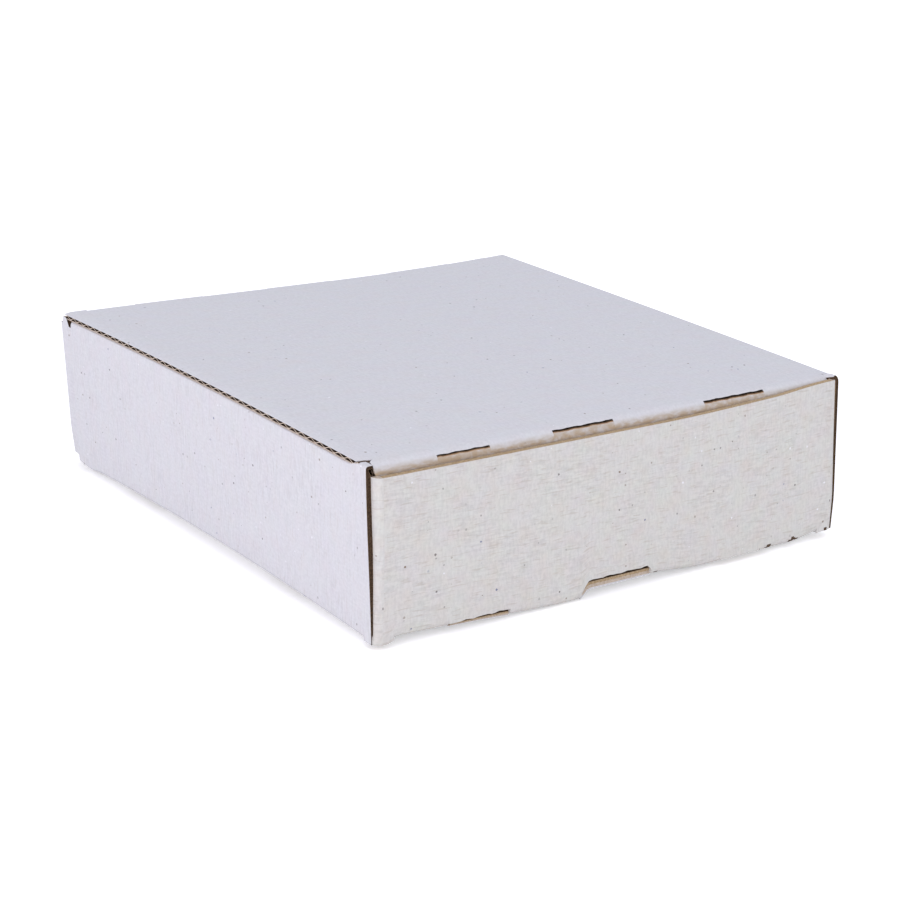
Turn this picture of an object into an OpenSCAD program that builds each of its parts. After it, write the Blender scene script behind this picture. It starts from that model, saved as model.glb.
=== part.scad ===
// Corrugated mailing box, closed: one die-cut sheet folded into a tray with roll-over side
// walls, and the lid that hangs on its back crease and tucks in behind the front wall.
// Millimetres. The origin is the middle of the base, where the box stands. +X runs to the
// right along the front wall, +Y to the hinge at the back and +Z up.

/* [Box] */
// Outer width along the front wall
box_w = 236; // [180:1:400]
// Outer depth from the front wall to the hinge
box_d = 242; // [180:1:400]
// Outer height with the lid closed
box_h = 69; // [55:1:150]

/* [Board] */
// Thickness of the corrugated board
board_t = 2.5; // [1.8:0.1:4]
// Thickness of each liner, and of the wavy medium between the liners
paper_t = 0.3; // [0.2:0.05:0.4]
// Distance from one flute to the next
flute_pitch = 6.2; // [4:0.1:9]
// Inner radius of a crease
crease_r = 0.6; // [0.4:0.1:1.2]
// Clearance between layers of board that lie side by side
layer_gap = 0.3; // [0.2:0.05:0.5]

/* [Lid] */
// Distance of each cut edge of the lid from the outer face of the wall below it
lid_inset = 0.4; // [0:0.1:2]
// Clearance between the lid and the side walls that it lies on
lid_gap = 0.2; // [0.1:0.05:0.5]
// Inner radius of the rounder crease along the lid's front edge
tuck_r = 1.4; // [1.2:0.1:3]
// Height of the tuck flap, from the top of the lid
tuck_h = 38; // [25:1:50]
// Lean of the tuck flap away from the front wall, which lets it swing out past the wall
tuck_lean = 6; // [5:0.5:12]
// Radius of the tuck flap's lower corners
tuck_corner_r = 10; // [2:1:20]
// Clearance between the lid's front fold and the front wall
tuck_gap = 0.4; // [0.3:0.1:1.5]
// Clearance between each end of the tuck flap and the dust flap beside it
tuck_side_gap = 0.5; // [0.3:0.1:2]
// Length of the notch in each front corner of the lid, behind the fold
lid_notch_l = 0.6; // [0.2:0.2:10]
// Slant of that notch, which is longer at the lid's cut edge
lid_notch_slant = 2.6; // [0:0.2:5]
// Middle of each cut through the lid's front crease, along X
lid_cut_x = [-75, -18, 61]; // [-110:1:110]
// Length of each of those cuts
lid_cut_l = [24, 30, 33]; // [10:1:50]
// Depth of the tuck flap's cut edge below the top of the lid
lid_cut_drop = 0.7; // [0.3:0.1:1.5]

/* [Walls] */
// Distance of the front wall's top edge below the top of the lid
front_drop = 4.6; // [4:0.2:12]
// Length of each dust flap
dust_l = 62; // [30:1:80]
// Chamfer on the free corners of a dust flap
dust_chamfer = 8; // [2:1:15]
// Distance of each side wall's front end behind the front wall's outer face
side_front_set = 0.6; // [0.2:0.1:3]
// Distance of each side wall's back end in front of the back wall's outer face
side_back_set = 7.5; // [1:0.5:12]
// Length at the end of each wall that is cut free of the base and stands on its edge
foot_l = 5; // [4:0.5:12]
// Width of each tab that locks a side wall into the base
tab_w = 26; // [12:1:40]
// Height of the tabs' ends above the table
tab_lift = 0.3; // [0.1:0.1:1]

/* [Cut creases] */
// Number of cuts through each long crease of the base and the hinge
crease_cuts = 3; // [1:1:5]
// How far the lid runs on straight where one of its creases is cut
cut_run = 1; // [0.4:0.1:1.2]
// How far the base runs on under an end wall where its crease is cut
base_run = 2.6; // [0.4:0.1:2.8]
// Gap that stays open under the end walls at a cut, from the left to the right
cut_open = [0.4, 1.8, 0.8]; // [0.2:0.1:3]
// Slant at each end of a cut, along the wall
cut_slant = 2; // [0:0.5:4]

/* [Hidden] */
$fn = 64;
half_w = box_w / 2;
half_d = box_d / 2;
bend_o = crease_r + board_t;
tuck_o = tuck_r + board_t;

// Heights in the tray
layer_z = board_t + layer_gap;
roll_top = box_h - board_t - lid_gap;
dust_top = roll_top - bend_o;
front_top = box_h - front_drop;
back_top = box_h - bend_o;

// Widths across the tray: end walls between the outer side panels, then the layers of a side wall
end_w = box_w - 2 * (board_t + layer_gap);
fold_x = end_w / 2 - bend_o;
crease_x = fold_x - foot_l;
roll_w = 3 * board_t + 2 * layer_gap;
inner_x = half_w - roll_w;
inner_fold_x = inner_x + bend_o;

// Lid and tuck flap
lid_w = box_w - 2 * lid_inset;
tuck_w = end_w - 2 * (board_t + tuck_side_gap);
lid_fold_y = -half_d + board_t + tuck_gap + tuck_o;
lid_l = half_d - bend_o - lid_fold_y;
tuck_l = (tuck_h - tuck_o * (1 + sin(tuck_lean))) / cos(tuck_lean);
tuck_back_y = lid_fold_y + tuck_l * sin(tuck_lean) - tuck_r * cos(tuck_lean);

// Ends of the side walls' outer panels and of the panels that roll over inside
side_y0 = -half_d + side_front_set;
side_y1 = half_d - side_back_set;
roll_y0 = tuck_back_y + 2 * layer_gap;
roll_y1 = half_d - bend_o - 2 * layer_gap;
tab_ys = [for (q = [1, 3]) roll_y0 + (roll_y1 - roll_y0) * q / 4];

// Angle left open between the lid's half and the tray's half of the hinge crease
hinge_slit_deg = 2;
// Reach of a cutting shape past the faces that it cuts
over = 1;

// Ends of each cut along the lid's front crease, then of each cut and each bridge between
// cuts along the other long creases
cut_l = box_w / (2 * crease_cuts + 1);
lid_cuts = [for (i = [0:len(lid_cut_x) - 1]) [for (e = [-1, 1]) lid_cut_x[i] + e * lid_cut_l[i] / 2]];
cuts = [for (i = [0:crease_cuts - 1]) [for (j = [1, 2]) cut_l * (2 * i + j) - half_w]];
bridges = [for (i = [0:crease_cuts]) [
    i == 0 ? -crease_x : cuts[i - 1][1],
    i == crease_cuts ? crease_x : cuts[i][0]]];

// Flutes: height of the wave, and where it is too thin beside the liner to stay open
wave_a = board_t / 2 - 1.5 * paper_t;
wave_end = 144;
wave_step = 72;

board_colour = [0.86, 0.86, 0.88];

// Runs a section drawn in Y and Z along X
module along_x(x0, x1) {
    translate([x0, 0, 0]) rotate([90, 0, 90]) linear_extrude(x1 - x0) children();
}

// Runs a section drawn in X and Z along Y
module along_y(y0, y1) {
    translate([0, y1, 0]) rotate([90, 0, 0]) linear_extrude(y1 - y0) children();
}

// Raises a plan drawn in X and Y
module along_z(z0, z1) {
    translate([0, 0, z0]) linear_extrude(z1 - z0) children();
}

// Draws a shape on the +X side and its mirror image on the -X side
module both_sides() {
    children();
    mirror([1, 0, 0]) children();
}

// Section of a bend with inner radius r, from angle a0 to a1 about its centre
module bend(r, a0, a1) {
    reach = 2 * (r + board_t);
    intersection() {
        difference() {
            circle(r + board_t);
            circle(r);
        }
        polygon([[0, 0], for (a = [a0, (a0 + a1) / 2, a1]) reach * [cos(a), sin(a)]]);
    }
}

// One flute tunnel beside the liner at y = 0, with its middle at x = 0
module tunnel() {
    wave = [for (a = [-wave_end:wave_step:wave_end])
        [a / 360 * flute_pitch, board_t / 2 + wave_a * cos(a) - paper_t / 2]];
    ends = [for (s = [1, -1]) [s * wave_end / 360 * flute_pitch, paper_t]];
    polygon(concat(wave, ends));
}

// Section across the flutes of a straight run of board, with its outer face on y = 0
module fluted(l) {
    flutes = floor(l / flute_pitch);
    margin = (l - flutes * flute_pitch) / 2;
    difference() {
        square([l, board_t]);
        for (i = [0:flutes - 1]) {
            translate([margin + (i + 0.25) * flute_pitch, 0]) tunnel();
            translate([margin + (i + 0.75) * flute_pitch, board_t]) mirror([0, 1]) tunnel();
        }
    }
}

// Section of the lid in Y and Z, from the hinge to the tuck flap's lower edge
module lid_section() {
    translate([half_d - bend_o, box_h]) rotate(180) fluted(lid_l);
    translate([lid_fold_y, box_h - tuck_o]) {
        bend(tuck_r, 90, 180 + tuck_lean);
        rotate(270 + tuck_lean) translate([0, -tuck_o]) fluted(tuck_l);
    }
}

// Front corner notch of the lid, and what is cut off the end of the tuck flap below it
module lid_notch() {
    notch_y = lid_fold_y + lid_notch_l;
    outer_x = lid_w / 2 + over;
    along_z(0, box_h + over) polygon([
        [tuck_w / 2, -half_d - over],
        [outer_x, -half_d - over],
        [outer_x, notch_y + lid_notch_slant],
        [tuck_w / 2, notch_y]
    ]);
    along_x(tuck_w / 2, outer_x)
        translate([-half_d - over, 0])
        square([tuck_back_y + half_d + 2 * over, box_h - tuck_o]);
}

// What is cut away to round a lower corner of the tuck flap
module tuck_corner() {
    along_y(-half_d, tuck_back_y + over)
        translate([tuck_w / 2 - tuck_corner_r, box_h - tuck_h + tuck_corner_r])
        difference() {
            translate([0, -tuck_corner_r - over]) square(tuck_corner_r + over);
            circle(tuck_corner_r);
        }
}

// The lid and the tuck flap run on straight at a cut in the crease between them
module lid_cut_edges() {
    translate([lid_fold_y - cut_run, box_h - board_t]) square([cut_run, board_t]);
    translate([lid_fold_y - tuck_o, box_h - tuck_o]) square([board_t, tuck_o - lid_cut_drop]);
}

module lid() color(board_colour) {
    difference() {
        along_x(-lid_w / 2, lid_w / 2) lid_section();
        both_sides() {
            lid_notch();
            tuck_corner();
        }
        for (c = lid_cuts)
            along_x(c[0], c[1])
                translate([lid_fold_y - tuck_o - over, box_h - tuck_o])
                square([tuck_o + over, tuck_o + over]);
    }
    for (c = lid_cuts) along_x(c[0], c[1]) lid_cut_edges();
    // The lid's half of the hinge crease
    for (b = bridges)
        along_x(b[0], b[1])
            translate([half_d - bend_o, box_h - bend_o])
            bend(crease_r, 45 + hinge_slit_deg / 2, 90);
    for (c = cuts)
        along_x(c[0], c[1])
            translate([half_d - bend_o, box_h - board_t]) square([cut_run, board_t]);
}

// Bottom edge of an end wall: feet at both ends, and the openings at the cuts in its crease
function end_bottom() = concat(
    [[-fold_x, 0], [-crease_x, 0], [-crease_x, bend_o]],
    [for (i = [0:crease_cuts - 1]) each [
        [cuts[i][0], bend_o],
        [cuts[i][0] + cut_slant, board_t + cut_open[i % len(cut_open)]],
        [cuts[i][1] - cut_slant, board_t + cut_open[i % len(cut_open)]],
        [cuts[i][1], bend_o]]],
    [[crease_x, bend_o], [crease_x, 0], [fold_x, 0]]
);

// An end wall with its crease and its two dust flaps, drawn as the front wall
module end_wall(top_edge) {
    along_y(-half_d, -half_d + board_t) polygon(concat(end_bottom(), top_edge));
    for (b = bridges)
        along_x(b[0], b[1]) translate([-half_d + bend_o, bend_o]) bend(crease_r, 180, 270);
    both_sides() {
        along_z(layer_z, dust_top)
            translate([fold_x, -half_d + bend_o]) bend(crease_r, 270, 360);
        along_x(end_w / 2 - board_t, end_w / 2) dust_flap();
    }
}

// Outline of a dust flap in Y and Z
module dust_flap() {
    end_y = -half_d + dust_l;
    polygon([
        [-half_d + bend_o, layer_z],
        [end_y - dust_chamfer, layer_z],
        [end_y, layer_z + dust_chamfer],
        [end_y, dust_top - dust_chamfer],
        [end_y - dust_chamfer, dust_top],
        [-half_d + bend_o, dust_top]
    ]);
}

// Base panel with the tab slots, and its straight edges at the cuts in its creases
module base() {
    difference() {
        union() {
            along_z(0, board_t)
                translate([-half_w + bend_o, -half_d + bend_o])
                square([box_w - 2 * bend_o, box_d - 2 * bend_o]);
            for (c = cuts, m = [0, 1])
                mirror([0, m, 0])
                along_z(0, board_t)
                    translate([c[0], -half_d + bend_o - base_run])
                    square([c[1] - c[0], base_run]);
        }
        both_sides() along_z(-over, board_t + over)
            for (y = tab_ys)
                translate([inner_x - layer_gap, y - tab_w / 2 - layer_gap])
                square([board_t, tab_w] + 2 * layer_gap * [1, 1]);
    }
}

// Outer panel of a side wall in Y and Z, with a foot at each end
module side_panel() {
    polygon([
        [side_y0, 0],
        [side_y0 + foot_l, 0],
        [side_y0 + foot_l, bend_o],
        [side_y1 - foot_l, bend_o],
        [side_y1 - foot_l, 0],
        [side_y1, 0],
        [side_y1, roll_top - bend_o],
        [side_y0, roll_top - bend_o]
    ]);
}

// Inner panel of a side wall in Y and Z, with the tabs that lock into the base
module roll_panel() {
    tabs = [for (y = tab_ys) each [
        [y - tab_w / 2, layer_z],
        [y - tab_w / 2, tab_lift],
        [y + tab_w / 2, tab_lift],
        [y + tab_w / 2, layer_z]]];
    polygon(concat([[roll_y0, layer_z]], tabs,
        [[roll_y1, layer_z], [roll_y1, roll_top - bend_o], [roll_y0, roll_top - bend_o]]));
}

// Right side wall: up from the base, over the dust flaps and down again inside
module side_wall() {
    along_x(half_w - board_t, half_w) side_panel();
    along_y(side_y0 + foot_l, side_y1 - foot_l)
        translate([half_w - bend_o, bend_o]) bend(crease_r, 270, 360);
    along_y(side_y0, side_y1)
        translate([half_w - bend_o, roll_top - bend_o]) bend(crease_r, 0, 90);
    along_z(roll_top - board_t, roll_top) polygon([
        [half_w - bend_o, side_y0],
        [half_w - bend_o, side_y1],
        [inner_fold_x, roll_y1],
        [inner_fold_x, roll_y0]
    ]);
    along_y(roll_y0, roll_y1)
        translate([inner_fold_x, roll_top - bend_o]) bend(crease_r, 90, 180);
    along_x(inner_x, inner_x + board_t) roll_panel();
}

module tray() color(board_colour) {
    base();
    end_wall([[fold_x, front_top], [-fold_x, front_top]]);
    // The back wall's top edge steps up where the hinge crease is cut
    cut_top = box_h - board_t - layer_gap;
    mirror([0, 1, 0]) end_wall(concat(
        [[fold_x, back_top]],
        [for (i = [crease_cuts - 1:-1:0]) each [
            [cuts[i][1], back_top], [cuts[i][1], cut_top],
            [cuts[i][0], cut_top], [cuts[i][0], back_top]]],
        [[-fold_x, back_top]]));
    // The tray's half of the hinge crease
    for (b = bridges)
        along_x(b[0], b[1])
            translate([half_d - bend_o, back_top])
            bend(crease_r, 0, 45 - hinge_slit_deg / 2);
    both_sides() side_wall();
}

tray();
lid();
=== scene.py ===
"""Looks of the cardboard mailing box: the folded sheet is rebuilt with its liners, flutes and wear."""

import math

import bpy
import numpy as np
from mathutils import Matrix, Vector


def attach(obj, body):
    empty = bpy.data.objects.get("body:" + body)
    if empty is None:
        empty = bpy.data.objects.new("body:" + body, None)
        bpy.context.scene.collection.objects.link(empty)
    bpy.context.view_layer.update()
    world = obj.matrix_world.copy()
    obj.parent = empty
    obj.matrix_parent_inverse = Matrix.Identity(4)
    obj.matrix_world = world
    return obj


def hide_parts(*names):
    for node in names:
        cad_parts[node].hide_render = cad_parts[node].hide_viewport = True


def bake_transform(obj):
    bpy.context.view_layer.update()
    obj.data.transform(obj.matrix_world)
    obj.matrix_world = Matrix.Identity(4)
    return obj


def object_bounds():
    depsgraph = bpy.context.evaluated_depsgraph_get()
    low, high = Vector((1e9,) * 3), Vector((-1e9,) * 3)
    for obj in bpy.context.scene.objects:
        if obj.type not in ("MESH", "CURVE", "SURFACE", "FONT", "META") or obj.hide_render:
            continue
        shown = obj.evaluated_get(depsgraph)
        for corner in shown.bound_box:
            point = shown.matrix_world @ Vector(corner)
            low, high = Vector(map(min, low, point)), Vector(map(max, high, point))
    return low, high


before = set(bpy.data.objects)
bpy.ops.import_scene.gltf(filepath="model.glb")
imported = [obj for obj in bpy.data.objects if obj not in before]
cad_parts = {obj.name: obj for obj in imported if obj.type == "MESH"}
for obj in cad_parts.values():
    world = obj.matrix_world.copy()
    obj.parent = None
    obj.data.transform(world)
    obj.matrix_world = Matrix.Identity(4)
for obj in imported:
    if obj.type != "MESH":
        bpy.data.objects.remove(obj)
cad_lo, cad_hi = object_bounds()
MM = 0.001

# Sizes in millimetres: the outer box from the frame, and the rest the same as in the part's source
box_w, box_d, box_h = (round((hi - lo) / MM, 3) for lo, hi in zip(cad_lo, cad_hi))
board_t, paper_t, flute_pitch, crease_r, layer_gap = 2.5, 0.3, 6.2, 0.6, 0.3
lid_inset, lid_gap, tuck_r, tuck_h, tuck_lean = 0.4, 0.2, 1.4, 38.0, 6.0
tuck_corner_r, tuck_gap, tuck_side_gap = 10.0, 0.4, 0.5
lid_notch_l, lid_notch_slant = 0.6, 2.6
lid_cut_x, lid_cut_l = (-75.0, -18.0, 61.0), (24.0, 30.0, 33.0)
front_drop, dust_l, dust_chamfer = 4.6, 62.0, 8.0
side_front_set, side_back_set, foot_l = 0.6, 7.5, 5.0
tab_w, tab_lift = 26.0, 0.3
crease_cuts, cut_run, cut_slant = 3, 1.0, 2.0

# Wear of the cuts in the lower creases, for the front wall (False) and the back wall (True): how far the
# wall's lip stands above the base's board at a cut's left and right ends, how far the base's lip reaches
# out below it, and the share of its thickness that the base's lip keeps at the cut's left and right ends
cut_open = {False: ((-1.1, 0.6), (2.3, 2.3), (-1.4, -1.4)), True: ((0.4, 0.4), (1.8, 1.8), (0.8, 0.8))}
base_run = {False: (1.9, 1.7, 0.4), True: (2.6, 2.6, 2.6)}
base_crush = {False: ((0.3, 0.7), (1.45, 1.35), (0.8, 0.8)), True: ((1.0, 1.0),) * 3}
# Where the front wall's cuts start and end along X, how uneven their lips are, and their right ends' slant
front_cuts = [(-84.3, -57.0), (-22.4, 13.2), (50.6, 76.0)]
front_cut_tear, front_cut_slant = 0.3, 0.8
# A lip that stands open comes down at the ends of its cut to this far below the bend
lip_shut_drop = 0.2
# Nicks in the front wall's lower edge, painted in the medium's shaded colour as ripped paper and as painted
# shade where holes would be: from and to along X, then the rows of the crease that are ripped
nicks = [
    (15.0, 17.0, 3, 5), (76.0, 77.6, 3, 6), (77.6, 80.0, 1, 5), (89.3, 90.6, 4, 6), (90.6, 92.0, 2, 6),
    (92.0, 93.6, 0, 4), (93.6, 94.6, 1, 3), (94.6, 96.4, 2, 4), (109.4, 110.6, 2, 4), (110.6, 112.0, 1, 3),
]
# The cuts in the lid's front fold: where round the fold each one starts and ends, in degrees, how uneven
# its lips are, in degrees too, and how much of its thickness the board keeps there
slit_arc = ((141, 157), (128, 147), (125, 146))
slit_tear, slit_crush = 2.5, (0.5, 0.7, 0.5)
# How much further round the fold the lower lip's paper is taken to lie, so that it takes more of the fold's
# brown tint, which is partly wear from rubbing and partly painted shade and bounce light
lip_tint_shift = 1.3
# Shift along X that gives a lower lip another unevenness than the upper one
lip_shift = 50

half_w, half_d = box_w / 2, box_d / 2
bend_o, tuck_o = crease_r + board_t, tuck_r + board_t
layer_z = board_t + layer_gap
roll_top = box_h - board_t - lid_gap
dust_top = roll_top - bend_o
front_top = box_h - front_drop
back_top = box_h - bend_o
hinge_cut_top = box_h - board_t - layer_gap
end_w = box_w - 2 * (board_t + layer_gap)
fold_x = end_w / 2 - bend_o
crease_x = fold_x - foot_l
inner_x = half_w - 3 * board_t - 2 * layer_gap
inner_fold_x = inner_x + bend_o
lid_w = box_w - 2 * lid_inset
tuck_w = end_w - 2 * (board_t + tuck_side_gap)
lid_fold_y = -half_d + board_t + tuck_gap + tuck_o
lean = math.radians(tuck_lean)
tuck_l = (tuck_h - tuck_o * (1 + math.sin(lean))) / math.cos(lean)
tuck_back_y = lid_fold_y + tuck_l * math.sin(lean) - tuck_r * math.cos(lean)
side_y0, side_y1 = -half_d + side_front_set, half_d - side_back_set
roll_y0, roll_y1 = tuck_back_y + 2 * layer_gap, half_d - bend_o - 2 * layer_gap
tab_ys = [roll_y0 + (roll_y1 - roll_y0) * q / 4 for q in (1, 3)]
cut_l = box_w / (2 * crease_cuts + 1)
cuts = [(cut_l * (2 * i + 1) - half_w, cut_l * (2 * i + 2) - half_w) for i in range(crease_cuts)]
lid_cuts = [(x - l / 2, x + l / 2) for x, l in zip(lid_cut_x, lid_cut_l)]

# Material slots, and the states of a cell: left out, there, or closed up between two cells that meet
WHITE, KRAFT, EDGE, SHADED_CORE, SHADED_CUT, FRONT, BROWN = range(7)
ABSENT, PRESENT, JOINED = range(3)

# Longest side of a cell on a wall or the lid, along a torn lip and where the lid bends, and on a dust flap
STEP, TEAR_STEP, BENDING_STEP, FLAP_STEP = 4.0, 1.8, 0.5, 6.0
# Rows of cells round a bend, round each half of the hinge crease, in each lip of a cut, and above an open cut
BEND, HINGE, LIP, OPEN_ROWS = 8, 4, 2, 3
# Where the paper of each kind of panel starts along the sheet, in millimetres, so that their grain differs
SHEET_START = {"front": 0, "back": 300, "base": 700, "left": 700, "right": 1300, "dust": 1700, "lid": 2200}
TINY = 1e-6


def spread(stops, step):
    """Values from the first stop to the last that hold every stop and lie at most a step apart."""
    out = [stops[0]]
    for a, b in zip(stops, stops[1:]):
        n = max(1, math.ceil(abs(b - a) / step - TINY))
        out += [a + (b - a) * k / n for k in range(1, n + 1)]
    return out


def smooth(t):
    """Smooth step from 0 at 0 to 1 at 1."""
    t = np.clip(t, 0, 1)
    return t * t * (3 - 2 * t)


def grow(value, start, length):
    """Rises smoothly from 0 at start to 1 a length further on."""
    return smooth((value - start) / length)


def ragged(x):
    """Uneven steps of a torn edge along X, from -1 to 1."""
    return 0.6 * math.sin(2.9 * x) + 0.4 * math.sin(1.3 * x + 1.0)


# The real box is a little out of square: how far the corners of its outer box that moved lie from true
CORNER_SHIFT = {
    (0, 0, 0): (0.0, 0.4, 0.4), (0, 0, 1): (-3.4, 0.8, 0.4), (0, 1, 0): (-1.5, 0.2, 0.0),
    (0, 1, 1): (-3.6, 1.6, -0.4), (1, 0, 1): (-3.1, 2.8, -0.4), (1, 1, 1): (0.9, -0.3, 1.8),
}
LEFT_FOOT_BOW, FRONT_FOOT_BOW, LID_ARCH, BACK_SAG = 3.0, 2.0, 1.4, 12.0
# Share of the lid's arch that is lost from its left side to its right
ARCH_LOSS = 0.65


def warp(p):
    """Moves points of the true box, in millimetres, to where the racked and bowed box has them."""
    u, v, w = p[:, 0] / box_w + 0.5, p[:, 1] / box_d + 0.5, p[:, 2] / box_h
    out = p.copy()
    for (i, j, k), shift in CORNER_SHIFT.items():
        weight = (u if i else 1 - u) * (v if j else 1 - v) * (w if k else 1 - w)
        out += weight[:, None] * np.array(shift)
    bow_u, bow_v = np.clip(1 - (2 * u - 1) ** 2, 0, 1), np.clip(1 - (2 * v - 1) ** 2, 0, 1)
    arch = LID_ARCH * bow_v * (1 - ARCH_LOSS * u)
    sag = BACK_SAG * u**2 * (1 - u) * np.clip(v, 0, 1) ** 4
    out[:, 2] += LEFT_FOOT_BOW * bow_v * (1 - u) * (1 - w)
    out[:, 1] -= FRONT_FOOT_BOW * bow_u * (1 - v) * (1 - w)
    out[:, 2] += (arch - sag) * w
    return out


# A board's faces


def solid(rim):
    """A cut edge of one colour: places across it, how deep they lie, and the slot from each to the next."""
    return [(0, 0, rim), (1, 0, None)]


def layered(rim):
    """A cut edge with both liners, and the crushed medium set back between them, in the medium's brown
    darkened with painted shade.
    """
    return [(0, 0, rim), (0.14, 0, rim), (0.2, 0.45, SHADED_CORE), (0.8, 0.45, SHADED_CORE), (0.86, 0, rim), (1, 0, None)]


# A torn lip of the front wall's lower edge, and the frayed lower lip of a cut in the lid; their deepest
# strips take the medium's colour with painted shade
TORN_LIP = [(0, 0, WHITE), (0.2, 0, EDGE), (0.6, 0, BROWN), (0.9, 0.2, SHADED_CORE), (1, 0.2, None)]
FRAYED_LIP = [(0, 0, EDGE), (0.4, -0.1, KRAFT), (1.0, -0.4, SHADED_CORE), (1.6, -0.75, SHADED_CORE), (3.0, -0.75, None)]


class Board:
    """Collects the faces of one piece of board."""

    SHARP = math.radians(34)
    # Points this close are one, in metres, and cut edges shorter than this are left out, in millimetres
    MERGE, SHORTEST = 0.5e-6, 1e-4

    def __init__(self):
        self.points, self.faces, self.slots, self.uvs = [], [], [], []
        self.count = 0

    def add(self, points):
        """Adds points, and gives the number of the first."""
        self.points.append(points)
        start = self.count
        self.count += len(points)
        return start

    def patch(self, outer, inner, uv, state, cut, raw=(True,) * 4, slots=(WHITE, KRAFT), tweak=None, torn=()):
        """A grid of cells with an outer and an inner face. raw says for its first row, last row, first column
        and last column whether the cut edge shows, for the whole side or cell by cell. cut gives the make-up
        of a cut edge, slots those of the two faces, and torn the row, column and face of cells that show the
        medium, in its colour darkened with painted shade. tweak moves the points first."""
        n, m = outer.shape[:2]
        if tweak is not None:
            outer = tweak(outer.reshape(-1, 3)).reshape(n, m, 3)
            inner = tweak(inner.reshape(-1, 3)).reshape(n, m, 3)
        cells = np.argwhere(state == PRESENT)
        i0, j0 = cells[len(cells) // 2]
        across = np.cross(outer[i0 + 1, j0] - outer[i0, j0], outer[i0, j0 + 1] - outer[i0, j0])
        flip = across @ (outer[i0, j0] - inner[i0, j0]) < 0
        start = [self.add(outer.reshape(-1, 3)), self.add(inner.reshape(-1, 3))]
        for i, j in cells:
            ring = [(i, j), (i + 1, j), (i + 1, j + 1), (i, j + 1)]
            for side in (0, 1):
                order = ring if (side == 0) != flip else ring[::-1]
                self.faces.append([start[side] + a * m + b for a, b in order])
                self.slots.append(SHADED_CORE if (i, j, side) in torn else slots[side])
                self.uvs.append([uv[a, b] for a, b in order])
            for a, b, (di, dj), k in (
                ((i, j), (i, j + 1), (-1, 0), 0),
                ((i + 1, j), (i + 1, j + 1), (1, 0), 1),
                ((i, j), (i + 1, j), (0, -1), 2),
                ((i, j + 1), (i + 1, j + 1), (0, 1), 3),
            ):
                ni, nj = i + di, j + dj
                if 0 <= ni < n - 1 and 0 <= nj < m - 1:
                    shown = state[ni, nj] == ABSENT
                else:
                    shown = raw[k] if isinstance(raw[k], bool) else raw[k][j if k < 2 else i]
                if shown:
                    behind = (a[0] - di, a[1] - dj), (b[0] - di, b[1] - dj)
                    self.edge(outer, inner, uv, (a, b), behind, cut(i, k))

    def edge(self, outer, inner, uv, corners, behind, steps):
        """The cut edge between two grid corners. behind are the corners one cell further in."""
        a, b = corners
        oa, ob, ia, ib = outer[a], outer[b], inner[a], inner[b]
        if np.linalg.norm(ob - oa) + np.linalg.norm(ib - ia) < self.SHORTEST:
            return
        out = (oa - outer[behind[0]]) + (ob - outer[behind[1]])
        length = np.linalg.norm(out)
        out = out / length if length > TINY else out * 0
        line = [(oa + (ia - oa) * f - out * d, ob + (ib - ob) * f - out * d) for f, d, _ in steps]
        turn = np.cross(ob - oa, ia - oa) @ out > 0
        for k in range(len(steps) - 1):
            ring = [line[k][0], line[k][1], line[k + 1][1], line[k + 1][0]]
            if not turn:
                ring = ring[::-1]
            s = self.add(np.array(ring))
            self.faces.append([s, s + 1, s + 2, s + 3])
            self.slots.append(steps[k][2])
            self.uvs.append([uv[a], uv[b], uv[b], uv[a]])

    def merged(self):
        """Warped points in metres, each place once, and the faces that still have three corners."""
        points = warp(np.concatenate(self.points)) * MM
        keys = np.round(points / self.MERGE).astype(np.int64)
        _, first, index = np.unique(keys, axis=0, return_index=True, return_inverse=True)
        index = index.reshape(-1)
        faces, slots, uvs = [], [], []
        for face, slot, uv in zip(self.faces, self.slots, self.uvs):
            ring, kept = [], []
            for k, corner in enumerate(face):
                v = int(index[corner])
                if v not in ring:
                    ring.append(v)
                    kept.append(uv[k])
            if len(ring) > 2:
                faces.append(ring)
                slots.append(slot)
                uvs.append(kept)
        used = np.unique(np.concatenate([np.array(f) for f in faces]))
        place = np.full(len(first), -1)
        place[used] = np.arange(len(used))
        return points[first[used]], [[int(place[v]) for v in f] for f in faces], slots, uvs

    def build(self, name, materials):
        """The board as an object."""
        points, faces, slots, uvs = self.merged()
        mesh = bpy.data.meshes.new(name)
        mesh.from_pydata(points.tolist(), [], faces)
        mesh.polygons.foreach_set("material_index", slots)
        layer = mesh.uv_layers.new(name="flutes")
        flat_uvs = np.concatenate([np.array(u) for u in uvs]).astype(np.float32).ravel()
        layer.data.foreach_set("uv", flat_uvs * MM)
        for material in materials:
            mesh.materials.append(material)
        mesh.polygons.foreach_set("use_smooth", [True] * len(faces))
        mesh.set_sharp_from_angle(angle=self.SHARP)
        mesh.update()
        obj = bpy.data.objects.new(name, mesh)
        bpy.context.scene.collection.objects.link(obj)
        return obj


def columns(lo, hi, ranges, step, more=()):
    """Places along a crease, and for each the number of its cut, or -1. The ends of a cut come twice."""
    stops = sorted({lo, hi, *[e for r in ranges for e in r], *[q for q in more if lo < q < hi]})
    place, kind = [], []
    for a, b in zip(stops, stops[1:]):
        k = next((n for n, r in enumerate(ranges) if r[0] <= (a + b) / 2 <= r[1]), -1)
        for x in spread([a, b], step):
            if place and place[-1] == x and kind[-1] == k:
                continue
            place.append(x)
            kind.append(k)
    return np.array(place), np.array(kind)


def arc(cy, cz, r, a0, a1, n):
    """Points on an arc about (cy, cz), with the normals that point at its centre."""
    angles = np.radians(np.linspace(a0, a1, n + 1))
    normal = -np.stack([np.cos(angles), np.sin(angles)], 1)
    return np.array([cy, cz]) - r * normal, normal


def squared_bend(exponent):
    """A quarter turn from (1, 0) to (0, 1). An exponent of 2 is round, and a higher one squarer."""
    angle = np.radians(np.linspace(0, 90, BEND + 1))
    return np.stack([np.cos(angle), np.sin(angle)], 1).clip(0) ** (2 / exponent)


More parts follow.
